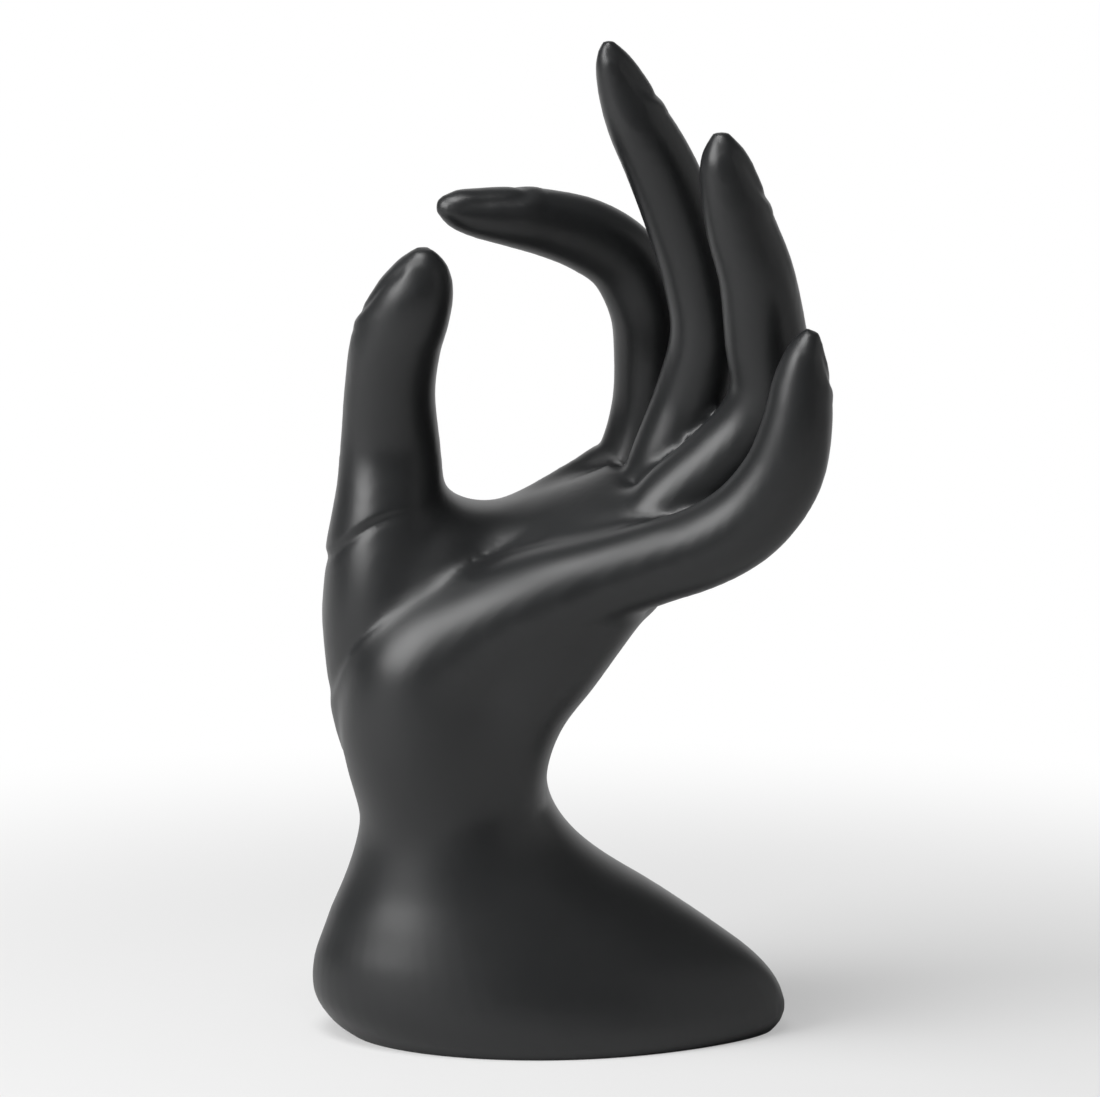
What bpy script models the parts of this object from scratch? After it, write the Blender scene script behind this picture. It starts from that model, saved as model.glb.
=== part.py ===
"""Hand-shaped stand for rings and bracelets: one solid resin casting, 210 mm high.

Frame, in millimetres: X runs to the right of the photo, Y away from the camera, Z up. The origin is
the middle of the flat foot, on the ground. The palm faces left and up, so the index finger lies
behind the other fingers and the little finger lies nearest the camera.

Every finger, the ball of the thumb, the palm and the foot is a skin over a row of oval stations.
The skins overlap, are joined into one body, softened, thinned to fewer triangles and cut flat below.
The tables of stations are a drawing of the form: the sizes above them say how large it is made.
"""

from math import ceil, copysign, cos, pi, sin

import bmesh
import bpy
import numpy as np

MM = 0.001  # metres in a millimetre: Blender's unit is the metre

FOOT_HEIGHT = 71.0  # from the ground to the top of the foot's skin, inside the heel of the hand
HAND_LENGTH = 139.2  # from there up to the tip of the middle finger
FOOT_LENGTH = 100.7  # from left to right, where the foot is widest
FOOT_DEPTH = 63.2  # from front to back

# Each station is x, y, z of its middle, half the width across the photo, half the depth.
LITTLE_FINGER = [  # starts in the wrist, swells into the heel of the palm, curls up at the near side
    (-21.0, -1.0, 22.0, 16.0, 18.0),
    (-23.0, -1.0, 38.0, 17.8, 19.5),
    (-25.0, -2.0, 52.0, 18.9, 20.8),
    (-26.6, -4.5, 66.0, 20.4, 21.3),
    (-25.3, -8.0, 78.8, 19.0, 19.3),
    (-14.5, -13.0, 88.5, 14.3, 15.5),
    (-3.5, -17.0, 94.7, 11.6, 13.0),
    (7.5, -20.0, 99.5, 9.6, 11.0),
    (17.5, -23.0, 103.1, 8.9, 9.5),
    (28.0, -26.0, 107.0, 8.7, 8.5),
    (37.5, -29.0, 113.3, 8.7, 8.0),
    (44.4, -32.0, 123.0, 8.3, 7.5),
    (47.2, -34.0, 133.5, 7.2, 7.0),
    (48.0, -35.0, 142.0, 6.0, 6.0),
    (48.7, -36.0, 148.0, 4.2, 4.5),
    (49.9, -36.0, 152.8, 1.6, 1.5),
]
RING_FINGER = [
    (-20.0, -2.0, 62.0, 12.0, 13.0),
    (-2.5, -6.0, 84.0, 9.5, 11.0),
    (13.0, -8.0, 99.3, 9.8, 10.0),
    (22.0, -10.0, 112.2, 9.2, 9.0),
    (32.5, -12.0, 122.2, 8.9, 8.5),
    (40.0, -14.0, 131.0, 8.8, 8.5),
    (43.0, -16.0, 139.0, 8.9, 8.5),
    (41.5, -19.0, 149.0, 8.6, 8.0),
    (39.1, -24.0, 163.0, 7.8, 7.6),
    (35.9, -27.0, 172.5, 7.2, 7.0),
    (33.4, -30.0, 181.5, 6.2, 6.0),
    (31.9, -32.0, 188.0, 4.5, 4.5),
    (31.3, -33.0, 192.3, 1.6, 1.5),
]
MIDDLE_FINGER = [
    (-20.0, 4.0, 62.0, 12.0, 13.0),
    (-3.0, 5.0, 83.5, 9.0, 11.0),
    (12.8, 6.0, 96.6, 10.0, 10.0),
    (19.3, 4.5, 110.0, 9.8, 9.2),
    (23.9, 2.8, 124.0, 9.1, 8.8),
    (27.6, 1.0, 135.5, 8.6, 8.3),
    (29.8, -3.0, 149.5, 7.7, 8.0),
    (27.5, -6.0, 162.5, 7.5, 7.8),
    (23.6, -10.0, 175.0, 7.6, 7.4),
    (19.2, -14.0, 185.5, 7.2, 7.0),
    (14.8, -17.0, 194.0, 6.4, 6.4),
    (11.6, -19.0, 201.5, 5.1, 5.0),
    (9.5, -21.0, 207.0, 3.3, 3.3),
    (8.6, -22.0, 210.2, 1.2, 1.2),
]
INDEX_FINGER = [
    (-20.0, 10.0, 66.0, 10.5, 12.0),
    (-7.0, 16.0, 89.0, 9.5, 10.0),
    (7.0, 20.0, 105.0, 9.5, 9.5),
    (15.0, 20.0, 118.0, 8.7, 9.0),
    (18.5, 19.0, 130.5, 8.4, 8.5),
    (18.8, 16.0, 143.5, 8.2, 8.0),
    (17.5, 12.0, 153.6, 8.1, 8.0),
    (12.4, 8.0, 163.6, 8.0, 7.8),
    (5.0, 4.0, 168.8, 7.8, 7.4),
    (-3.2, 0.0, 171.7, 7.1, 7.0),
    (-11.0, -4.0, 173.4, 6.3, 6.4),
    (-18.5, -7.0, 174.5, 5.1, 5.4),
    (-23.0, -9.0, 175.5, 3.8, 4.0),
    (-26.2, -10.0, 176.2, 1.4, 1.5),
]
THUMB = [
    (-27.0, 4.0, 36.0, 13.0, 14.0),
    (-30.2, 5.0, 52.0, 13.6, 15.5),
    (-33.6, 4.5, 66.5, 14.9, 15.5),
    (-36.0, 2.0, 79.0, 14.4, 17.0),
    (-36.7, 0.0, 91.0, 14.4, 17.2),
    (-36.4, -1.2, 102.0, 13.5, 15.8),
    (-36.2, -2.0, 113.0, 12.0, 12.6),
    (-36.3, -3.0, 125.5, 10.5, 9.6),
    (-36.2, -6.5, 137.6, 9.5, 9.0),
    (-34.6, -11.0, 148.2, 9.4, 8.8),
    (-31.9, -14.0, 154.8, 8.7, 8.4),
    (-29.7, -16.5, 160.8, 7.2, 7.0),
    (-29.0, -18.0, 165.3, 4.7, 4.5),
    (-28.9, -18.5, 167.9, 1.7, 1.8),
]
THUMB_BALL = [  # the muscle between the thumb and the hollow of the palm
    (-24.0, 4.0, 52.0, 13.0, 13.0),
    (-28.0, 3.0, 66.0, 15.0, 15.0),
    (-30.0, 0.5, 78.0, 16.0, 16.5),
    (-30.0, -1.0, 89.0, 16.5, 17.5),
    (-28.0, -0.5, 98.0, 14.5, 16.0),
    (-23.5, 2.0, 102.5, 11.0, 14.0),
    (-17.5, 4.5, 103.5, 8.5, 13.0),
    (-10.5, 7.5, 105.0, 7.5, 11.5),
    (-3.0, 10.0, 108.0, 7.0, 10.0),
]
THUMB_WEB = [  # the skin between the thumb and the index finger, a U seen from the front
    (-33.5, 3.0, 115.0, 8.5, 8.5),
    (-31.0, 5.0, 109.5, 8.8, 9.5),
    (-26.0, 8.5, 105.3, 9.2, 10.0),
    (-16.0, 13.0, 102.6, 9.2, 9.5),
    (-8.0, 16.5, 104.3, 9.3, 9.0),
    (-0.5, 18.0, 108.0, 9.3, 8.5),
    (7.0, 20.0, 112.3, 9.0, 8.0),
    (12.0, 20.0, 117.0, 8.0, 8.0),
]
PALM_HOLLOW = [  # fills the cup of the palm, from the ball of the thumb to the index finger
    (-34.0, 2.0, 84.0, 12.0, 12.0),
    (-25.0, 0.0, 93.5, 9.5, 14.0),
    (-16.5, 1.5, 97.0, 8.5, 15.5),
    (-7.5, 4.0, 102.5, 8.5, 16.0),
    (1.0, 6.0, 107.5, 8.0, 14.5),
    (8.0, 6.5, 112.0, 7.0, 12.0),
    (13.0, 6.0, 116.0, 5.5, 9.0),
]
WRIST_BACK = [  # the back of the hand, down into the wrist
    (-16.0, -4.0, 50.0, 12.0, 15.5),
    (-13.0, -5.0, 62.0, 10.5, 16.0),
    (-9.0, -7.0, 73.0, 11.0, 16.8),
    (-1.5, -9.5, 83.0, 11.0, 16.0),
    (6.5, -12.0, 91.0, 9.0, 14.0),
    (14.0, -14.0, 97.5, 6.5, 11.0),
]

# The palm is a slab from the wrist to the roots of the fingers: half its thickness, half its breadth.
ACROSS_PALM = (-0.25, 0.92, 0.30)  # from the little finger to the index finger
PALM = [
    (-24.0, 0.0, 54.0, 14.0, 18.0),
    (-22.0, 0.0, 66.0, 13.0, 20.0),
    (-16.2, -1.5, 79.5, 13.0, 24.0),
    (-7.2, -2.0, 90.3, 12.5, 25.5),
    (2.0, -3.0, 100.5, 12.0, 24.0),
    (9.0, -4.5, 107.6, 9.6, 20.5),
    (12.8, -5.0, 111.6, 7.0, 17.5),
    (15.6, -5.5, 114.8, 4.0, 14.0),
]

# The foot and wrist: height, left end, right end, half depth, how far the right end is drawn to a point.
FOOT = [
    (-5.0, -40.0, 39.0, 26.0, 0.36),
    (-2.0, -43.0, 42.5, 28.5, 0.36),
    (0.0, -45.5, 44.5, 29.8, 0.36),
    (1.5, -48.0, 46.0, 30.8, 0.36),
    (4.5, -51.0, 47.2, 31.5, 0.36),
    (8.0, -53.0, 46.6, 31.6, 0.36),
    (12.0, -53.5, 44.6, 31.2, 0.35),
    (17.0, -52.8, 39.9, 30.2, 0.33),
    (22.0, -51.0, 33.2, 28.8, 0.31),
    (27.0, -49.2, 26.0, 27.2, 0.27),
    (32.0, -47.0, 18.3, 25.6, 0.22),
    (37.0, -45.2, 9.8, 24.2, 0.15),
    (42.0, -43.8, 3.2, 23.1, 0.08),
    (47.0, -43.0, -1.0, 22.3, 0.03),
    (52.0, -43.5, -3.3, 21.8, 0.0),
    (57.0, -43.5, -3.8, 21.4, 0.0),
    (62.0, -42.5, -3.2, 20.8, 0.0),
    (67.0, -40.0, -2.6, 19.0, 0.0),
    (71.0, -36.0, -5.0, 14.5, 0.0),
]

STATION_STEP = 2.0  # distance between the rings of a skin
THINNEST = 0.3  # least half width or half depth of a ring
RING_POINTS = 32
FOOT_POINTS = 64
PALM_POWER = 2.2  # over 2, it fills the corners of the palm's oval
GRAIN = 1.2  # size of the cells that join the skins
TRIANGLES = 9500
RIM_MERGE = 0.6  # points of the cut rim nearer than this become one

# Softening, set out on the drawing, evens out bumps narrower than about these lengths: over all of
# it, then over the palm and the wrist, then in the cup of the palm.
EVEN_ALL = 2.45
EVEN_PALM = 7.75
EVEN_CUP = 11.4
FINE_STEPS = (0.5, -0.45)  # how far a round draws each point to its neighbours, then pushes it back
BROAD_STEPS = (0.6, -0.4)
# The palm and the wrist lie between these levels: the softening fades in above the foot, and out below
# the fingers, once along the slope of the palm and once straight up.
FADE_IN = (22.0, 45.0)
UP_PALM = (0.68, 0.73)  # X and Z of the palm's slope
FADE_OUT_PALM = (84.0, 100.0)
FADE_OUT_TOP = (112.0, 128.0)
# The cup of the palm lies along this line, and the softening fades out between these distances from it.
CUP_LINE = ((-30.0, 2.0, 104.0), (-4.0, 6.0, 108.0))
FADE_OUT_CUP = (9.0, 19.0)


def between(stations, step):
    """The stations with more put in between them, along a smooth curve through them all."""
    p = np.array(stations, float)
    p = np.vstack([2 * p[0] - p[1], p, 2 * p[-1] - p[-2]])
    out = []
    for i in range(1, len(p) - 2):
        p0, p1, p2, p3 = p[i - 1 : i + 3]
        gaps = (p1 - p0, p2 - p1, p3 - p2)
        d1, d2, d3 = (max(np.linalg.norm(gap[:3]), 1e-6) ** 0.5 for gap in gaps)
        m1 = ((p1 - p0) / d1 - (p2 - p0) / (d1 + d2) + (p2 - p1) / d2) * d2
        m2 = ((p2 - p1) / d2 - (p3 - p1) / (d2 + d3) + (p3 - p2) / d3) * d2
        count = max(2, ceil(np.linalg.norm((p2 - p1)[:3]) / step))
        for t in np.arange(count) / count:
            a, b = 2 * t**3 - 3 * t**2, t**3 - t**2
            out.append((a + 1) * p1 + (b - t**2 + t) * m1 - a * p2 + b * m2)
    out.append(p[-2])
    return np.array(out)


def hand_growth():
    """How many times the size of the drawing the hand is made, and how high the drawn foot ends."""
    foot_top, tip = FOOT[-1][0], MIDDLE_FINGER[-1][2]
    return HAND_LENGTH / (tip - foot_top), foot_top


def hand_sized(stations):
    """A limb's stations, brought from the size of the drawing to HAND_LENGTH, on top of the foot."""
    grow, foot_top = hand_growth()
    return [
        (x * grow, y * grow, FOOT_HEIGHT + (z - foot_top) * grow, w * grow, d * grow)
        for x, y, z, w, d in stations
    ]


def as_drawn(points):
    """Where points of the sized hand lie in the drawing."""
    grow, foot_top = hand_growth()
    return (points - (0, 0, FOOT_HEIGHT)) / grow + (0, 0, foot_top)


def foot_sized(stations):
    """The foot's rows, brought from the size of the drawing to its height, length and depth."""
    taller = FOOT_HEIGHT / stations[-1][0]
    longer = FOOT_LENGTH / (max(row[2] for row in stations) - min(row[1] for row in stations))
    deeper = FOOT_DEPTH / 2 / max(row[3] for row in stations)
    return [
        (z * taller, left * longer, right * longer, d * deeper, point)
        for z, left, right, d, point in stations
    ]


def limb(stations, deep=(0.0, 1.0, 0.0), power=2.0):
    """Rings across a row of stations. A power over 2 fills the corners of the oval."""
    rows = between(hand_sized(stations), STATION_STEP)
    middles = rows[:, :3]
    along = np.gradient(middles, axis=0)
    along /= np.linalg.norm(along, axis=1)[:, None]
    rings = []
    for middle, t, width, depth in zip(middles, along, rows[:, 3], rows[:, 4]):
        across = np.cross(deep, t)
        across /= np.linalg.norm(across)
        back = np.cross(t, across)
        ring = []
        for k in range(RING_POINTS):
            c, s = cos(2 * pi * k / RING_POINTS), sin(2 * pi * k / RING_POINTS)
            c, s = copysign(abs(c) ** (2 / power), c), copysign(abs(s) ** (2 / power), s)
            ring.append(middle + across * max(width, THINNEST) * c + back * max(depth, THINNEST) * s)
        rings.append(ring)
    return rings


def foot(stations):
    """Level rings, egg-shaped low down, where the right end is drawn out."""
    rings = []
    for row in between([(0.0, 0.0, *s) for s in foot_sized(stations)], STATION_STEP):
        z, left, right, depth, point = row[2:]
        ring = []
        for k in range(FOOT_POINTS):
            c, s = cos(2 * pi * k / FOOT_POINTS), sin(2 * pi * k / FOOT_POINTS)
            narrow = 1 - point * (0.5 + 0.5 * c) ** 3
            ring.append(((left + right) / 2 + (right - left) / 2 * c, depth * s * narrow, z))
        rings.append(ring)
    return rings


def add_skin(bm, rings):
    """Closes a row of rings into one tube with flat ends."""
    loops = [[bm.verts.new([c * MM for c in point]) for point in ring] for ring in rings]
    count = len(loops[0])
    for low, high in zip(loops, loops[1:]):
        for i in range(count):
            j = (i + 1) % count
            bm.faces.new((low[i], low[j], high[j], high[i]))
    bm.faces.new(loops[0][::-1])
    bm.faces.new(loops[-1])


def ramp(x, start, end):
    t = np.clip((x - start) / (end - start), 0, 1)
    return t * t * (3 - 2 * t)


def without_pockets(mesh):
    """Keeps the outer surface. Where two skins barely touch, joining them can shut in a grain of air."""
    bm = bmesh.new()
    bm.from_mesh(mesh)
    left, sheets = set(bm.verts), []
    while left:
        sheet = {left.pop()}
        rim = list(sheet)
        while rim:
            rim = [v for v in {e.other_vert(v) for v in rim for e in v.link_edges} if v not in sheet]
            sheet.update(rim)
        left -= sheet
        sheets.append(sheet)
    outer = max(sheets, key=len)
    bmesh.ops.delete(bm, geom=[v for v in bm.verts if v not in outer], context="VERTS")
    bm.to_mesh(mesh)
    bm.free()


def relax(points, edges, weight, evened, steps):
    """Each round draws every point to its neighbours, then pushes it part of the way back."""
    rounds = round((evened / GRAIN) ** 2)
    a, b = edges[:, 0], edges[:, 1]
    size = len(points)
    count = np.bincount(a, minlength=size) + np.bincount(b, minlength=size)
    for step in steps * rounds:
        near = np.empty_like(points)
        for i in range(3):
            near[:, i] = np.bincount(a, points[b, i], size) + np.bincount(b, points[a, i], size)
        points = points + step * weight[:, None] * (near / count[:, None] - points)
    return points


def joined():
    """All the skins as one closed mesh of even cells, softened most over the palm and the wrist."""
    bm = bmesh.new()
    fingers = (LITTLE_FINGER, RING_FINGER, MIDDLE_FINGER, INDEX_FINGER, THUMB)
    for stations in (*fingers, THUMB_BALL, THUMB_WEB, PALM_HOLLOW, WRIST_BACK):
        add_skin(bm, limb(stations))
    add_skin(bm, limb(PALM, deep=ACROSS_PALM, power=PALM_POWER))
    add_skin(bm, foot(FOOT))
    bmesh.ops.recalc_face_normals(bm, faces=bm.faces)
    skins = bpy.data.meshes.new("skins")
    bm.to_mesh(skins)
    bm.free()
    rough = bpy.data.objects.new("skins", skins)
    bpy.context.scene.collection.objects.link(rough)
    join = rough.modifiers.new("join", "REMESH")
    join.mode = "VOXEL"
    join.voxel_size = GRAIN * MM
    graph = bpy.context.evaluated_depsgraph_get()
    mesh = bpy.data.meshes.new_from_object(rough.evaluated_get(graph))
    bpy.data.objects.remove(rough)
    without_pockets(mesh)

    points = np.empty(len(mesh.vertices) * 3, np.float32)
    mesh.vertices.foreach_get("co", points)
    points = points.reshape(-1, 3).astype(float) / MM
    edges = np.empty(len(mesh.edges) * 2, np.int32)
    mesh.edges.foreach_get("vertices", edges)
    edges = edges.reshape(-1, 2)
    points = relax(points, edges, np.ones(len(points)), EVEN_ALL, FINE_STEPS)
    x, _, z = as_drawn(points).T
    up_palm = UP_PALM[0] * x + UP_PALM[1] * z
    soft = ramp(z, *FADE_IN) * (1 - ramp(up_palm, *FADE_OUT_PALM)) * (1 - ramp(z, *FADE_OUT_TOP))
    points = relax(points, edges, soft, EVEN_PALM, BROAD_STEPS)
    start, end = np.array(CUP_LINE)
    reach = as_drawn(points) - start
    along = np.clip(reach @ (end - start) / ((end - start) @ (end - start)), 0, 1)
    away = np.linalg.norm(reach - along[:, None] * (end - start), axis=1)
    points = relax(points, edges, 1 - ramp(away, *FADE_OUT_CUP), EVEN_CUP, BROAD_STEPS)
    mesh.vertices.foreach_set("co", (points * MM).ravel())
    mesh.update()
    return mesh


def thinned(mesh):
    """Fewer, larger triangles, most of them kept where the surface bends."""
    dense = bpy.data.objects.new("dense", mesh)
    bpy.context.scene.collection.objects.link(dense)
    thin = dense.modifiers.new("thin", "DECIMATE")
    thin.ratio = TRIANGLES / (2 * len(mesh.polygons))
    thin.use_collapse_triangulate = True
    graph = bpy.context.evaluated_depsgraph_get()
    result = bpy.data.meshes.new_from_object(dense.evaluated_get(graph))
    bpy.data.objects.remove(dense)
    return result


def cut_flat(mesh):
    """Cuts the body at the ground and closes it with one flat face."""
    bm = bmesh.new()
    bm.from_mesh(mesh)
    everything = bm.verts[:] + bm.edges[:] + bm.faces[:]
    ground = {"plane_co": (0, 0, 0), "plane_no": (0, 0, 1), "clear_inner": True}
    bmesh.ops.bisect_plane(bm, geom=everything, dist=1e-7, **ground)
    rim = [v for v in bm.verts if abs(v.co.z) < 1e-6]
    for v in rim:
        v.co.z = 0
    bmesh.ops.remove_doubles(bm, verts=rim, dist=RIM_MERGE * MM)
    bmesh.ops.dissolve_degenerate(bm, dist=1e-6, edges=bm.edges)
    bmesh.ops.edgeloop_fill(bm, edges=[e for e in bm.edges if e.is_boundary])
    bmesh.ops.triangulate(bm, faces=[f for f in bm.faces if len(f.verts) > 3])
    bmesh.ops.recalc_face_normals(bm, faces=bm.faces)
    bm.to_mesh(mesh)
    bm.free()
    return mesh


bpy.data.objects.remove(bpy.data.objects["Cube"])
hand = bpy.data.objects.new("hand_stand", cut_flat(thinned(joined())))
bpy.context.scene.collection.objects.link(hand)
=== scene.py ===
# %% [markdown]
# # A hand-shaped stand for rings and bracelets
#
# The real thing is one resin casting, 210 mm high: a flared foot, a narrow wrist and an open hand.
# It is lacquered satin black, so nothing but its form and its highlights can be seen.
# This lesson skins each finger over a row of ovals, joins the skins into one body, softens it,
# carves the nails and creases, and gives it its lacquer.

# %% The frame, and the size of the solids
from math import copysign, cos, exp, pi, radians, sin

import bmesh
import bpy
import numpy as np
from mathutils import Matrix, Vector


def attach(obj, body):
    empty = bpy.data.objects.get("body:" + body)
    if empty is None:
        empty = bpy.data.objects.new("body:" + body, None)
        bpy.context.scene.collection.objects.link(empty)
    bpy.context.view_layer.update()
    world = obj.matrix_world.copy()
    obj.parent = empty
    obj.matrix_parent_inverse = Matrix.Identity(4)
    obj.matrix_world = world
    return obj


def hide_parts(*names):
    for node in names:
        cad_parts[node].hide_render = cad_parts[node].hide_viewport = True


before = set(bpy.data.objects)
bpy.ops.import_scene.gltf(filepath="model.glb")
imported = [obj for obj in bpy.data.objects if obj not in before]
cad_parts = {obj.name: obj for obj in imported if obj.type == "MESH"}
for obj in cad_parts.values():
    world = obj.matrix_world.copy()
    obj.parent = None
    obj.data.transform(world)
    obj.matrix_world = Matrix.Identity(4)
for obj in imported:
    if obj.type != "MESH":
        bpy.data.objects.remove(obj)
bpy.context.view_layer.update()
MM = 0.001

# %% [markdown]
# ## The camera
#
# The photo was taken from about a metre away and looks down by about eight degrees: the front of
# the foot bulges a little below its ends. A long lens keeps the fingers as slim as they are.

# %% Camera
VIEW_WIDTH = 1100  # the photo's width in pixels
LENS_PIXELS = 4800  # focal length, in the same pixels
LOOKS_DOWN = 8  # degrees
camera_data = bpy.data.cameras.new("camera")
camera_data.sensor_width = 36.0
camera_data.lens = LENS_PIXELS / VIEW_WIDTH * camera_data.sensor_width
camera = bpy.data.objects.new("camera", camera_data)
camera.location = Vector((-2.9, -1000.0, 243.8)) * MM
camera.rotation_euler = (radians(90 - LOOKS_DOWN), 0, 0)
bpy.context.scene.collection.objects.link(camera)
bpy.context.scene.camera = camera
print("lens, mm:", round(camera_data.lens, 2))

# %% [markdown]
# ## The limbs
#
# A modeller of hands first sets out the bones. Here each limb is a row of stations along its bone,
# from inside the wrist to the tip: the middle's x, y and z, then half the width as the camera sees
# it and half the depth. They could be drawn as a curve with a round bevel, but fingers are oval,
# and their width and depth change apart from each other.

# %% Stations, in millimetres
little_finger = [
    (-21.0, -1.0, 22.0, 16.0, 18.0), (-23.0, -1.0, 38.0, 17.8, 19.5), (-25.0, -2.0, 52.0, 18.9, 20.8),
    (-26.6, -4.5, 66.0, 20.4, 21.3), (-25.3, -8.0, 78.8, 19.0, 19.3), (-14.5, -13.0, 88.5, 14.3, 15.5),
    (-3.5, -17.0, 94.7, 11.6, 13.0), (7.5, -20.0, 99.5, 9.6, 11.0), (17.5, -23.0, 103.1, 8.9, 9.5),
    (28.0, -26.0, 107.0, 8.7, 8.5), (37.5, -29.0, 113.3, 8.7, 8.0), (44.4, -32.0, 123.0, 8.3, 7.5),
    (47.2, -34.0, 133.5, 7.2, 7.0), (48.0, -35.0, 142.0, 6.0, 6.0), (48.7, -36.0, 148.0, 4.2, 4.5),
    (49.9, -36.0, 152.8, 1.6, 1.5),
]
ring_finger = [
    (-20.0, -2.0, 62.0, 12.0, 13.0), (-2.5, -6.0, 84.0, 9.5, 11.0), (13.0, -8.0, 99.3, 9.8, 10.0),
    (22.0, -10.0, 112.2, 9.2, 9.0), (32.5, -12.0, 122.2, 8.9, 8.5), (40.0, -14.0, 131.0, 8.8, 8.5),
    (43.0, -16.0, 139.0, 8.9, 8.5), (41.5, -19.0, 149.0, 8.6, 8.0), (39.1, -24.0, 163.0, 7.8, 7.6),
    (35.9, -27.0, 172.5, 7.2, 7.0), (33.4, -30.0, 181.5, 6.2, 6.0), (31.9, -32.0, 188.0, 4.5, 4.5),
    (31.3, -33.0, 192.3, 1.6, 1.5),
]
middle_finger = [
    (-20.0, 4.0, 62.0, 12.0, 13.0), (-3.0, 5.0, 83.5, 9.0, 11.0), (12.8, 6.0, 96.6, 10.0, 10.0),
    (19.3, 4.5, 110.0, 9.8, 9.2), (23.9, 2.8, 124.0, 9.1, 8.8), (27.6, 1.0, 135.5, 8.6, 8.3),
    (29.8, -3.0, 149.5, 7.7, 8.0), (27.5, -6.0, 162.5, 7.5, 7.8), (23.6, -10.0, 175.0, 7.6, 7.4),
    (19.2, -14.0, 185.5, 7.2, 7.0), (14.8, -17.0, 194.0, 6.4, 6.4), (11.6, -19.0, 201.5, 5.1, 5.0),
    (9.5, -21.0, 207.0, 3.3, 3.3), (8.6, -22.0, 210.2, 1.2, 1.2),
]
index_finger = [
    (-20.0, 10.0, 66.0, 10.5, 12.0), (-7.0, 16.0, 89.0, 9.5, 10.0), (7.0, 20.0, 105.0, 9.5, 9.5),
    (15.0, 20.0, 118.0, 8.7, 9.0), (18.5, 19.0, 130.5, 8.4, 8.5), (18.8, 16.0, 143.5, 8.2, 8.0),
    (17.5, 12.0, 153.6, 8.1, 8.0), (12.4, 8.0, 163.6, 8.0, 7.8), (5.0, 4.0, 168.8, 7.8, 7.4),
    (-3.2, 0.0, 171.7, 7.1, 7.0), (-11.0, -4.0, 173.4, 6.3, 6.4), (-18.5, -7.0, 174.5, 5.1, 5.4),
    (-23.0, -9.0, 175.5, 3.8, 4.0), (-26.2, -10.0, 176.2, 1.4, 1.5),
]
thumb = [
    (-27.0, 4.0, 36.0, 13.0, 14.0), (-30.2, 5.0, 52.0, 13.6, 15.5), (-33.6, 4.5, 66.5, 14.9, 15.5),
    (-36.0, 2.0, 79.0, 14.4, 17.0), (-36.7, 0.0, 91.0, 14.4, 17.2), (-36.4, -1.2, 102.0, 13.5, 15.8),
    (-36.2, -2.0, 113.0, 12.0, 12.6), (-36.3, -3.0, 125.5, 10.5, 9.6), (-36.2, -6.5, 137.6, 9.5, 9.0),
    (-34.6, -11.0, 148.2, 9.4, 8.8), (-31.9, -14.0, 154.8, 8.7, 8.4), (-29.7, -16.5, 160.8, 7.2, 7.0),
    (-29.0, -18.0, 165.3, 4.7, 4.5), (-28.9, -18.5, 167.9, 1.7, 1.8),
]
thumb_ball = [
    (-24.0, 4.0, 52.0, 13.0, 13.0), (-28.0, 3.0, 66.0, 15.0, 15.0), (-30.0, 0.5, 78.0, 16.0, 16.5),
    (-30.0, -1.0, 89.0, 16.5, 17.5), (-28.0, -0.5, 98.0, 14.5, 16.0), (-23.5, 2.0, 102.5, 11.0, 14.0),
    (-17.5, 4.5, 103.5, 8.5, 13.0), (-10.5, 7.5, 105.0, 7.5, 11.5), (-3.0, 10.0, 108.0, 7.0, 10.0),
]
thumb_web = [
    (-33.5, 3.0, 115.0, 8.5, 8.5), (-31.0, 5.0, 109.5, 8.8, 9.5), (-26.0, 8.5, 105.3, 9.2, 10.0),
    (-16.0, 13.0, 102.6, 9.2, 9.5), (-8.0, 16.5, 104.3, 9.3, 9.0), (-0.5, 18.0, 108.0, 9.3, 8.5),
    (7.0, 20.0, 112.3, 9.0, 8.0), (12.0, 20.0, 117.0, 8.0, 8.0),
]
palm_hollow = [
    (-34.0, 2.0, 84.0, 12.0, 12.0), (-25.0, 0.0, 93.5, 9.5, 14.0), (-16.5, 1.5, 97.0, 8.5, 15.5),
    (-7.5, 4.0, 102.5, 8.5, 16.0), (1.0, 6.0, 107.5, 8.0, 14.5), (8.0, 6.5, 112.0, 7.0, 12.0),
    (13.0, 6.0, 116.0, 5.5, 9.0),
]
wrist_back = [
    (-16.0, -4.0, 50.0, 12.0, 15.5), (-13.0, -5.0, 62.0, 10.5, 16.0), (-9.0, -7.0, 73.0, 11.0, 16.8),
    (-1.5, -9.5, 83.0, 11.0, 16.0), (6.5, -12.0, 91.0, 9.0, 14.0), (14.0, -14.0, 97.5, 6.5, 11.0),
]
palm = [
    (-24.0, 0.0, 54.0, 14.0, 18.0), (-22.0, 0.0, 66.0, 13.0, 20.0), (-16.2, -1.5, 79.5, 13.0, 24.0),
    (-7.2, -2.0, 90.3, 12.5, 25.5), (2.0, -3.0, 100.5, 12.0, 24.0), (9.0, -4.5, 107.6, 9.6, 20.5),
    (12.8, -5.0, 111.6, 7.0, 17.5), (15.6, -5.5, 114.8, 4.0, 14.0),
]
across_palm = Vector((-0.25, 0.92, 0.30))  # from the little finger to the index finger
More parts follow.
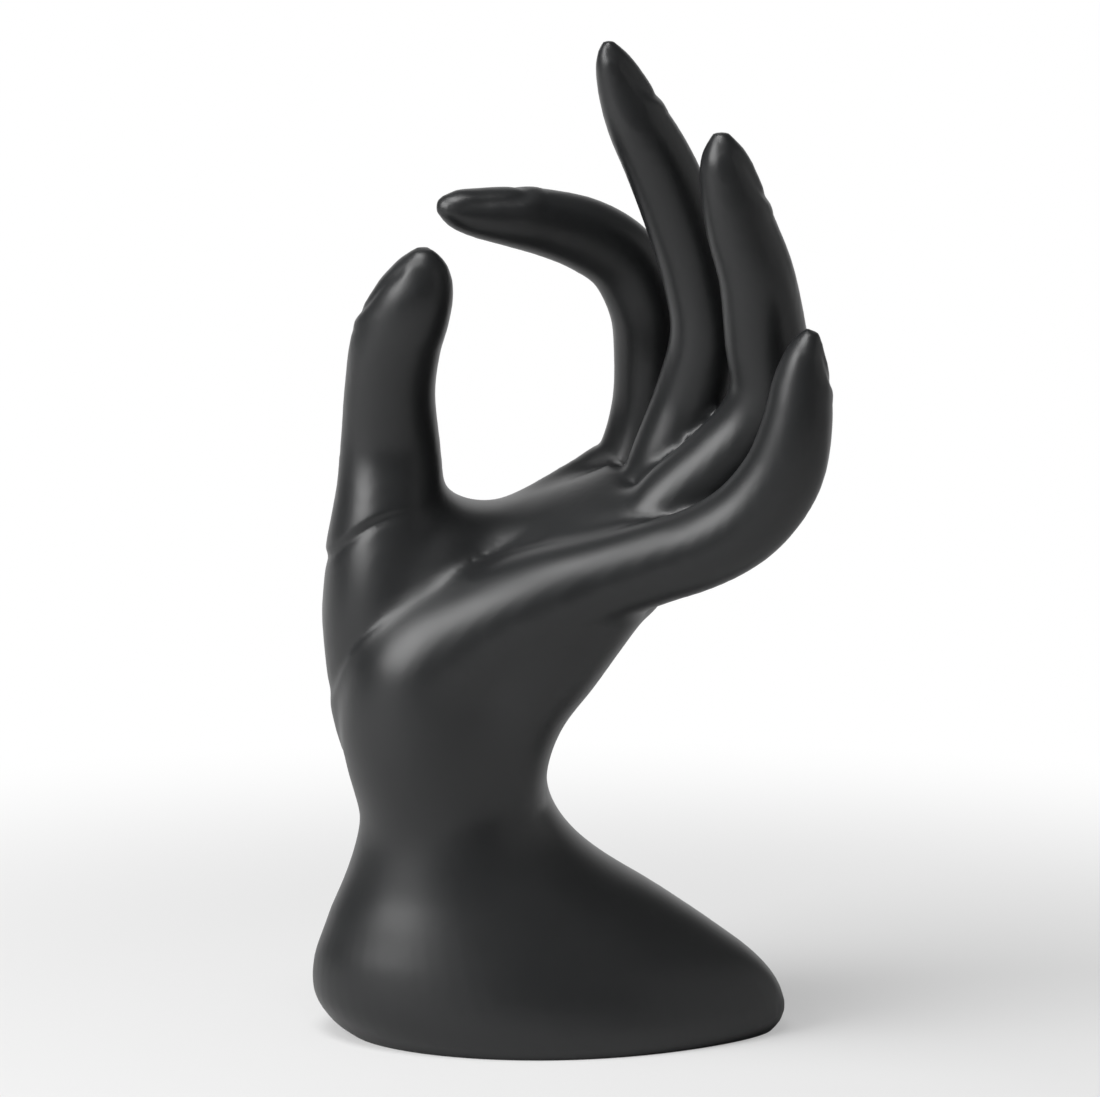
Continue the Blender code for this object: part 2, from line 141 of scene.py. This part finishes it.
foot = [  # height, left end, right end, half depth, how far the right end is drawn to a point
    (-5.0, -40.0, 39.0, 26.0, 0.36), (-2.0, -43.0, 42.5, 28.5, 0.36), (0.0, -45.5, 44.5, 29.8, 0.36),
    (1.5, -48.0, 46.0, 30.8, 0.36), (4.5, -51.0, 47.2, 31.5, 0.36), (8.0, -53.0, 46.6, 31.6, 0.36),
    (12.0, -53.5, 44.6, 31.2, 0.35), (17.0, -52.8, 39.9, 30.2, 0.33), (22.0, -51.0, 33.2, 28.8, 0.31),
    (27.0, -49.2, 26.0, 27.2, 0.27), (32.0, -47.0, 18.3, 25.6, 0.22), (37.0, -45.2, 9.8, 24.2, 0.15),
    (42.0, -43.8, 3.2, 23.1, 0.08), (47.0, -43.0, -1.0, 22.3, 0.03), (52.0, -43.5, -3.3, 21.8, 0.0),
    (57.0, -43.5, -3.8, 21.4, 0.0), (62.0, -42.5, -3.2, 20.8, 0.0), (67.0, -40.0, -2.6, 19.0, 0.0),
    (71.0, -36.0, -5.0, 14.5, 0.0),
]

# %% [markdown]
# Stations lie 10 to 20 mm apart, as far as the form allows, so a smooth curve through them gives
# the rings in between. This one passes through every station and doesn't overshoot where two lie
# close together, as they do at the finger tips.

# %% More stations, on a smooth curve
def root_of_length(step):
    """The root keeps the curve from overshooting. It is never 0, because the curve divides by it."""
    return max(np.linalg.norm(step[:3]), 1e-6) ** 0.5


def between(stations, step=2.0):
    """Stations about step mm apart, on one smooth curve through the given ones."""
    p = np.array(stations, float)
    p = np.vstack([2 * p[0] - p[1], p, 2 * p[-1] - p[-2]])
    rows = []
    for i in range(1, len(p) - 2):
        p0, p1, p2, p3 = p[i - 1 : i + 3]
        d1, d2, d3 = (root_of_length(b - a) for a, b in ((p0, p1), (p1, p2), (p2, p3)))
        m1 = ((p1 - p0) / d1 - (p2 - p0) / (d1 + d2) + (p2 - p1) / d2) * d2
        m2 = ((p2 - p1) / d2 - (p3 - p1) / (d2 + d3) + (p3 - p2) / d3) * d2
        count = max(2, int(np.ceil(np.linalg.norm((p2 - p1)[:3]) / step)))
        for t in np.arange(count) / count:
            a, b = 2 * t**3 - 3 * t**2, t**3 - t**2
            rows.append((a + 1) * p1 + (b - t**2 + t) * m1 - a * p2 + b * m2)
    rows.append(p[-2])
    return np.array(rows)


print("rings in the middle finger:", len(between(middle_finger)))

# %% [markdown]
# ## Skinning a limb
#
# Each ring starts as a circle from bmesh.ops.create_circle. A matrix lays it square to the bone
# and stretches it to the station's width and depth, and bridge_loops joins it to the ring before.

# %% Rings and skins
THINNEST = 0.3  # mm, so that the last ring at a tip doesn't vanish


def ring(bm, place, points=32, power=2.0, capped=False, narrow=0.0):
    """One oval in place: power over 2 fills its corners, narrow draws its +X end to a point."""
    made = bmesh.ops.create_circle(bm, cap_ends=capped, segments=points, radius=1.0)
    for vert in made["verts"]:
        x, y = vert.co.x, vert.co.y
        vert.co.x, vert.co.y = (copysign(abs(c) ** (2 / power), c) for c in (x, y))
        vert.co.y *= 1 - narrow * (0.5 + 0.5 * x) ** 3
    bmesh.ops.transform(bm, matrix=place, verts=made["verts"])
    return list(dict.fromkeys(edge for vert in made["verts"] for edge in vert.link_edges))


def skin(bm, places, **oval):
    """A closed skin over one ring at each place."""
    last = len(places) - 1
    before = None
    for i, (place, narrow) in enumerate(places):
        edges = ring(bm, place, capped=i in (0, last), narrow=narrow, **oval)
        if before:
            bmesh.ops.bridge_loops(bm, edges=before + edges)
        before = edges


def limb_places(stations, deep=Vector((0, 1, 0))):
    """A matrix for each ring of a limb: X across, Y deep, Z along the bone."""
    rows = between(stations)
    along = np.gradient(rows[:, :3], axis=0)
    places = []
    for row, t in zip(rows, along):
        t = Vector(t).normalized()
        across = deep.cross(t).normalized()
        back = t.cross(across)
        width, depth = (max(size, THINNEST) for size in row[3:5])
        axes = Matrix((across * width, back * depth, t)).transposed() * MM
        places.append((Matrix.Translation(Vector(row[:3]) * MM) @ axes.to_4x4(), 0.0))
    return places


def foot_places(stations):
    """A matrix for each level ring of the foot, and how far its right end is drawn to a point."""
    places = []
    for z, left, right, depth, narrow in between([(0, 0, *row) for row in stations])[:, 2:]:
        size = Matrix.Diagonal(((right - left) / 2 * MM, depth * MM, MM, 1))
        places.append((Matrix.Translation(Vector(((left + right) / 2, 0, z)) * MM) @ size, narrow))
    return places


PALM_POWER = 2.2  # a little squarer than an oval
fingers = [little_finger, ring_finger, middle_finger, index_finger]
body = bmesh.new()
for limb in [*fingers, thumb, thumb_ball, thumb_web, palm_hollow, wrist_back]:
    skin(body, limb_places(limb))
skin(body, limb_places(palm, deep=across_palm), power=PALM_POWER)
skin(body, foot_places(foot), points=64)
bmesh.ops.recalc_face_normals(body, faces=body.faces)
print("skins:", len(body.verts), "points")

# %% [markdown]
# ## One body from many skins
#
# The skins run through each other. A Boolean union would leave a sharp seam at every crossing, and
# a clay sculptor would press the lumps together instead. A voxel Remesh does that: it keeps only
# the outer surface, as one sheet of small even faces.

# %% Join
def object_from(bm, name):
    mesh = bpy.data.meshes.new(name)
    bm.to_mesh(mesh)
    made = bpy.data.objects.new(name, mesh)
    bpy.context.scene.collection.objects.link(made)
    return made


GRAIN = 1.0  # size of a face, mm
lumps = object_from(body, "lumps")
body.free()
join = lumps.modifiers.new("join", "REMESH")
join.mode = "VOXEL"
join.voxel_size = GRAIN * MM
joined = bpy.data.meshes.new_from_object(lumps.evaluated_get(bpy.context.evaluated_depsgraph_get()))
bpy.data.objects.remove(lumps)
clay = bmesh.new()
clay.from_mesh(joined)
print("joined:", len(clay.faces), "faces")

# %% [markdown]
# ## Softening
#
# smooth_vert moves each point towards the middle of its neighbours. Many rounds of that shrink a
# finger, so each round is followed by one with a negative factor, which pushes the surface out
# again. The palm and the wrist are softened most, where a real hand has no edge at all, and
# after them the cup between the thumb and the palm. Last come two small places that stay uneven:
# the front of the wrist, and the cleft between the middle and ring fingers.

# %% Soften
def soften(verts, rounds, forth, back):
    every_way = {"use_axis_x": True, "use_axis_y": True, "use_axis_z": True}
    for _ in range(rounds):
        for factor in (forth, -back):
            bmesh.ops.smooth_vert(clay, verts=verts, factor=factor, **every_way)


def ramp(x, start, end):
    t = min(max((x - start) / (end - start), 0), 1)
    return t * t * (3 - 2 * t)


def fleshy(co):
    """1 in the wrist and the palm, 0 in the foot, the fingers and the upright thumb."""
    x, z = co.x / MM, co.z / MM
    towards_fingers = 0.68 * x + 0.73 * z
    return ramp(z, 22, 45) * (1 - ramp(towards_fingers, 84, 100)) * (1 - ramp(z, 112, 128))


def near_line(start, end, full, none):
    """A weight: 1 within full mm of a line, 0 from none mm away."""
    start, way = Vector(start), Vector(end) - Vector(start)

    def weight(co):
        along = min(max((co / MM - start).dot(way) / way.length_squared, 0), 1)
        return 1 - ramp((co / MM - start - along * way).length, full, none)

    return weight


def near_point(place, full, none):
    return lambda co: 1 - ramp((co / MM - Vector(place)).length, full, none)


STEPS = 5  # a weight is met in this many steps: where it is 0.5, half of the rounds are done


def soften_where(weight, rounds):
    amount = {vert: weight(vert.co) for vert in clay.verts}
    for k in range(STEPS):
        region = [vert for vert, share in amount.items() if share > (k + 0.5) / STEPS]
        soften(region, round(rounds / GRAIN**2 / STEPS), 0.6, 0.4)


soften(clay.verts, round(6 / GRAIN**2), 0.5, 0.45)
soften_where(fleshy, 60)
soften_where(near_line((-30, 2, 104), (-4, 6, 108), 9, 19), 130)  # the cup by the thumb
soften_where(near_point((-17, -20, 62), 7, 17), 260)  # the front of the wrist
soften_where(near_point((14.5, -6, 117), 4, 9), 50)  # the cleft

# %% [markdown]
# ## Nails and folds
#
# The mould was taken from a modelled hand, so it has nails, the fold that runs round the heel of
# the palm, the line that goes on from it across the palm, and a step where the thumb leaves its
# ball. Faces near them are split once, to carry a groove a millimetre wide. Each detail is then a
# height, added along the surface's own normal.

# %% Nails
NAILS = [  # finger, where the nail faces, mm from the tip to the cuticle, half width in mm
    (little_finger, (0.93, 0.28, -0.08), 10.5, 3.2),
    (ring_finger, (0.95, 0.20, 0.18), 15.5, 4.1),
    (middle_finger, (0.90, 0.10, 0.40), 14.5, 3.9),
    (index_finger, (0.22, -0.24, 0.92), 18.0, 3.9),
    (thumb, (-0.85, 0.40, 0.30), 18.0, 5.4),
]
GROOVE_DEPTH, GROOVE_WIDTH = 0.28, 0.75  # mm, round a nail
CUTICLE_HEIGHT, CUTICLE_WIDTH, CUTICLE_BEHIND = 0.22, 1.1, 1.5  # mm, the skin behind a nail
SIDE_POWER, END_POWER = 2.6, 3.4  # how square a nail is at its sides and at its ends


def bell(x):
    return exp(-(x**2))


def nail_height(co, normal, finger, faces, cuticle, half_width):
    """Height of the surface at one nail: a groove round its plate, a fold at its cuticle."""
    tip, lower = Vector(finger[-1][:3]), Vector(finger[-4][:3])
    along = (tip - lower).normalized()
    out = (Vector(faces) - Vector(faces).dot(along) * along).normalized()
    if normal.dot(out) < 0.1:
        return 0.0
    down, aside = (tip - co).dot(along), (co - tip).dot(along.cross(out))
    middle = cuticle / 2
    rim = abs(aside / half_width) ** SIDE_POWER + abs((down - middle) / middle) ** END_POWER
    inside = (1 - rim**0.33) * half_width
    groove = -GROOVE_DEPTH * bell(inside / GROOVE_WIDTH) * ramp(down, 2.0, 5.0)
    fold = CUTICLE_HEIGHT * bell((inside + CUTICLE_BEHIND) / CUTICLE_WIDTH)
    fold *= ramp(down, 0.7 * cuticle, cuticle)
    return (groove + fold) * ramp(normal.dot(out), 0.1, 0.4)


# %% Folds
HEEL_FOLD = [  # seen from the front, X and Z, from the left edge to the middle of the palm
    (-51.0, 60.0), (-48.5, 71.0), (-47.2, 74.5), (-45.8, 78.5), (-43.8, 82.5), (-41.0, 86.0),
    (-37.5, 89.3), (-33.5, 92.3), (-29.0, 95.2), (-24.0, 98.2), (-18.5, 101.2),
]
PALM_LINE = [(-18.5, 101.2), (-13.0, 104.8), (-8.0, 108.0), (-2.0, 111.8), (3.0, 115.0)]
THUMB_STEP = [  # from the front round to the left, so its lip lies above it
    (-27.0, 114.5), (-31.5, 114.3), (-36.5, 113.2), (-40.5, 111.4), (-44.0, 109.0), (-47.0, 106.2),
    (-50.5, 103.0), (-56.0, 97.0),
]
FOLDS = [  # the line, its lip's height and breadth, how far it fades out, where it starts and ends
    (HEEL_FOLD, 0.35, 1.1, 4.0, (-1.0, -0.5), (0.45, 0.75)),
    (THUMB_STEP, 0.60, 1.0, 7.0, (0.0, 0.5), (2.0, 3.0)),
]
PALM_LINE_DEPTH, PALM_LINE_BREADTH = 0.25, 1.4  # mm


def aside_of(line, co):
    """Distance from a line on the front, positive above it, and how far along it that is."""
    best = (1e9, 0.0)
    here = Vector((co.x, co.z))
    for i, (a, b) in enumerate(zip(line, line[1:])):
        a, b = Vector(a), Vector(b)
        t = min(max((here - a).dot(b - a) / (b - a).length_squared, 0), 1)
        apart = here - a.lerp(b, t)
        above = (b - a).x * apart.y - (b - a).y * apart.x
        if apart.length < abs(best[0]):
            best = (copysign(apart.length, above), (i + t) / (len(line) - 1))
    return best


def fold_height(co, normal):
    """A lip along each fold, with a groove above it, and the groove of the palm's line."""
    if normal.y > 0.5 or co.z > 125 or co.z < 60 or co.x > 10:
        return 0.0
    height = 0.0
    for line, lip, breadth, fade, start, end in FOLDS:
        apart, t = aside_of(line, co)
        ends = ramp(t, *start) * (1 - ramp(t, *end))
        height += lip * ends * bell(apart / (breadth if apart > 0 else fade))
        height -= 0.5 * lip * ends * bell((apart - 1.4 * breadth) / breadth)
    apart, t = aside_of(PALM_LINE, co)
    height -= PALM_LINE_DEPTH * (1 - ramp(t, 0.3, 1.0)) * bell(apart / PALM_LINE_BREADTH)
    return height * (1 - ramp(normal.y, -0.1, 0.5))


# %% Split the faces there, then lift and press the points
def detailed(vert):
    """Whether a point lies at a nail or a fold, where the faces are too coarse for it."""
    co = vert.co / MM
    for finger, faces, cuticle, _ in NAILS:
        from_tip = (co - Vector(finger[-1][:3])).length
        if from_tip < cuticle + 3 and vert.normal.dot(Vector(faces)) > 0:
            return True
    if vert.normal.y > 0.4 or not 64 < co.z < 120 or co.x > 6:
        return False
    return any(abs(aside_of(line, co)[0]) < 2.5 for line in (HEEL_FOLD, PALM_LINE, THUMB_STEP))


clay.normal_update()
fine = {v for v in clay.verts if detailed(v)}
coarse = [edge for edge in clay.edges if fine.issuperset(edge.verts)]
bmesh.ops.subdivide_edges(clay, edges=coarse, cuts=1, use_grid_fill=True)
clay.normal_update()
fine = [v for v in clay.verts if detailed(v)]
soften(fine, 6, 0.5, 0.45)
clay.normal_update()
lifts = []
for vert in clay.verts:
    co = vert.co / MM
    height = fold_height(co, vert.normal)
    for nail in NAILS:
        if (co - Vector(nail[0][-1][:3])).length < nail[2] + 5:
            height += nail_height(co, vert.normal, *nail)
    if height:
        lifts.append((vert, vert.normal * height * MM))
for vert, lift in lifts:
    vert.co += lift
print("points in the finer zones:", len(fine))

# %% [markdown]
# ## The flat foot
#
# The casting stands on a flat face. bisect_plane cuts everything below the ground away, and one
# face closes the cut.

# %% Cut at the ground
everything = clay.verts[:] + clay.edges[:] + clay.faces[:]
ground_plane = {"plane_co": (0, 0, 0), "plane_no": (0, 0, 1)}
bmesh.ops.bisect_plane(clay, geom=everything, dist=1e-7, clear_inner=True, **ground_plane)
for vert in clay.verts:
    if abs(vert.co.z) < 0.001 * MM:
        vert.co.z = 0
rim = [edge for edge in clay.edges if edge.is_boundary]
sole = bmesh.ops.edgeloop_fill(clay, edges=rim)["faces"]
print("sole faces:", len(sole))

# %% The finished mesh
bmesh.ops.recalc_face_normals(clay, faces=clay.faces)
for face in clay.faces:
    face.smooth = face not in sole
hand = object_from(clay, "hand_casting")
clay.free()
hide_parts("hand_stand")
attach(hand, "root")
print("triangles:", sum(len(p.vertices) - 2 for p in hand.data.polygons))

# %% [markdown]
# ## Satin black lacquer
#
# The casting is polyester resin, sprayed with a satin black lacquer. That gives the eye a very
# dark, slightly cool body and wide, soft highlights with no sharp reflection. Sprayed lacquer dries
# with a fine orange peel, about a millimetre from crest to crest, and is a little glossier where
# the coat went on thick. Sockets that hold one value all over are set on the shader itself.

# %% Helpers for materials
def linear(hex_colour):
    """A colour as it is read off a screen, as the linear values that a shader takes."""
    values = [int(hex_colour[i : i + 2], 16) / 255 for i in (1, 3, 5)]
    return (*[v / 12.92 if v <= 0.04045 else ((v + 0.055) / 1.055) ** 2.4 for v in values], 1.0)


def use_nodes(owner):
    owner.use_nodes = True
    return owner.node_tree


def add(tree, kind, links=None, settings=None, **values):
    """Adds a node: settings are its properties, values its inputs, links what feeds it."""
    made = tree.nodes.new(kind)
    for key, value in (settings or {}).items():
        setattr(made, key, value)
    for key, value in values.items():
        made.inputs[key].default_value = value
    for key, source in (links or {}).items():
        tree.links.new(source, made.inputs[key])
    return made


def ranged(tree, value, low, high, to_low=0.0, to_high=1.0, smooth="LINEAR"):
    """Maps a value from low..high to to_low..to_high."""
    made = add(tree, "ShaderNodeMapRange", {"Value": value}, {"interpolation_type": smooth})
    ends = {"From Min": low, "From Max": high, "To Min": to_low, "To Max": to_high}
    for key, end in ends.items():
        made.inputs[key].default_value = end
    return made.outputs[0]


def calculated(tree, operation, first, second):
    return add(tree, "ShaderNodeMath", {0: first, 1: second}, {"operation": operation}).outputs[0]


# %% Lacquer
COAT_PATCH = 18 * MM  # from a thick place in the coat to the next
PEEL_WIDTH, PEEL_HEIGHT = 1.1 * MM, 0.010 * MM  # one bump of the orange peel
THICK_COAT, THIN_COAT = 0.35, 0.41  # roughness


def satin_black_lacquer():
    """Sprayed lacquer on cast resin: almost black, satin, with orange peel and an uneven coat."""
    material = bpy.data.materials.new("satin_black_lacquer")
    tree = use_nodes(material)
    shader = tree.nodes["Principled BSDF"]
    shader.inputs["IOR"].default_value = 1.5
    place = add(tree, "ShaderNodeTexCoord").outputs["Object"]
    noise = add(tree, "ShaderNodeTexNoise", {"Vector": place}, Scale=1 / COAT_PATCH, Detail=3.0)
    coat = noise.outputs["Fac"]
    black = add(tree, "ShaderNodeMix", {"Factor": coat}, {"data_type": "RGBA"})
    black.inputs["A"].default_value = linear("#18191a")
    black.inputs["B"].default_value = linear("#1c1d1e")
    gloss = ranged(tree, coat, 0.3, 0.7, THICK_COAT, THIN_COAT)
    peel = add(tree, "ShaderNodeTexNoise", {"Vector": place}, Scale=1 / PEEL_WIDTH, Detail=2.0)
    bump = add(tree, "ShaderNodeBump", {"Height": peel.outputs["Fac"]}, Distance=PEEL_HEIGHT)
    bump.inputs["Strength"].default_value = 1.0
    tree.links.new(black.outputs["Result"], shader.inputs["Base Color"])
    tree.links.new(gloss, shader.inputs["Roughness"])
    tree.links.new(bump.outputs[0], shader.inputs["Normal"])
    return material


hand.data.materials.append(satin_black_lacquer())

# %% [markdown]
# ## Light
#
# Black lacquer shows its lamps more than itself. The photo has one tall softbox at the left and a
# second one overhead, and the room gives back a little light from the right and from the front, as
# two wide dim screens do here. Each stands a metre or more from the middle of the hand, at an
# azimuth counted from the camera towards the right, and an elevation.

# %% Softboxes
HAND_MIDDLE = Vector((0, 0, 100)) * MM


def softbox(name, azimuth, elevation, distance, width, height, brightness):
    """Angles in degrees, sizes in metres. A lamp of brightness 1 would look just white."""
    data = bpy.data.lights.new(name, "AREA")
    data.shape = "RECTANGLE"
    data.size, data.size_y = width, height
    data.energy = brightness * pi * width * height
    lamp = bpy.data.objects.new(name, data)
    a, e = radians(azimuth), radians(elevation)
    away = Vector((sin(a) * cos(e), -cos(a) * cos(e), sin(e)))
    lamp.location = HAND_MIDDLE + away * distance
    lamp.rotation_euler = away.to_track_quat("Z", "Y").to_euler()
    lamp.visible_camera = False
    bpy.context.scene.collection.objects.link(lamp)


for name, *numbers in (  # azimuth, elevation, distance, width, height, brightness
    ("left_softbox", -60, 27, 1.0, 0.60, 0.7, 7.8),
    ("top_softbox", -40, 68, 1.0, 0.65, 0.5, 8.2),
    ("right_fill", 85, 12, 1.5, 2.20, 1.0, 0.4),
    ("front_fill", 10, 24, 1.6, 1.60, 0.5, 0.1),
):
    softbox(name, *numbers)

# %% [markdown]
# ## White floor and background
#
# The photo's background is plain white. The floor is white paper, and a mix lifts it towards pure
# white for the camera, while lamps still light it and the hand still shades it. The backdrop is
# white in reflections too, but only behind the hand: the room on the camera's side is dark, and
# lacquer that mirrored white all round would look grey.

# %% Floor
def backdrop_seen(tree, place, start, end):
    """1 for what the camera sees, and for what a reflection or glass shows of the backdrop."""
    rays = add(tree, "ShaderNodeLightPath").outputs
    bent = calculated(tree, "MAXIMUM", rays["Is Glossy Ray"], rays["Is Transmission Ray"])
    back = add(tree, "ShaderNodeSeparateXYZ", {"Vector": place}).outputs["Y"]
    bent = calculated(tree, "MULTIPLY", bent, ranged(tree, back, start, end, smooth="SMOOTHSTEP"))
    return calculated(tree, "MAXIMUM", rays["Is Camera Ray"], bent)


WHITE_NEAR, WHITE_FAR = 0.4, 1.0  # share of pure white in what is seen of the floor
NEAR, FAR = 0.12, 0.35  # metres from the middle of the foot
BEHIND = (0.1, 0.6)  # metres behind it, where the floor turns white in reflections
BACKDROP = (0.6, 1.0)  # the same for the room: how far a direction points to the back
ground = bmesh.new()
bmesh.ops.create_grid(ground, x_segments=1, y_segments=1, size=1.0)
bmesh.ops.scale(ground, vec=(2.0, 1.5, 1.0), verts=ground.verts)  # 4 m wide, 3 m deep
bmesh.ops.translate(ground, vec=(0, 1.1, 0), verts=ground.verts)  # from 0.4 m before the hand
floor = object_from(ground, "floor")
ground.free()
paper = bpy.data.materials.new("white_paper")
tree = use_nodes(paper)
sheet = tree.nodes["Principled BSDF"]
sheet.inputs["Base Color"].default_value = linear("#cccccc")
sheet.inputs["Roughness"].default_value = 0.9
glow = add(tree, "ShaderNodeEmission", Strength=1.0)
place = add(tree, "ShaderNodeTexCoord").outputs["Object"]
reach = add(tree, "ShaderNodeVectorMath", {0: place}, {"operation": "LENGTH"}).outputs["Value"]
whiter = ranged(tree, reach, NEAR, FAR, WHITE_NEAR, WHITE_FAR, smooth="SMOOTHSTEP")
seen = backdrop_seen(tree, place, *BEHIND)
share = calculated(tree, "MULTIPLY", seen, whiter)
mix = add(tree, "ShaderNodeMixShader", {0: share, 1: sheet.outputs[0], 2: glow.outputs[0]})
tree.links.new(mix.outputs[0], tree.nodes["Material Output"].inputs["Surface"])
floor.data.materials.append(paper)

# %% World
ROOM = 0.12  # brightness of the grey room that the lamps stand in
world = bpy.data.worlds.new("studio")
tree = use_nodes(world)
room = tree.nodes["Background"]
room.inputs["Color"].default_value = (1, 1, 1, 1)
room.inputs["Strength"].default_value = ROOM
white = add(tree, "ShaderNodeBackground", Color=(1, 1, 1, 1), Strength=1.0)
direction = add(tree, "ShaderNodeTexCoord").outputs["Generated"]
seen = backdrop_seen(tree, direction, *BACKDROP)
mix = add(tree, "ShaderNodeMixShader", {0: seen, 1: room.outputs[0], 2: white.outputs[0]})
tree.links.new(mix.outputs[0], tree.nodes["World Output"].inputs["Surface"])
bpy.context.scene.world = world
bpy.context.scene.view_settings.view_transform = "Standard"
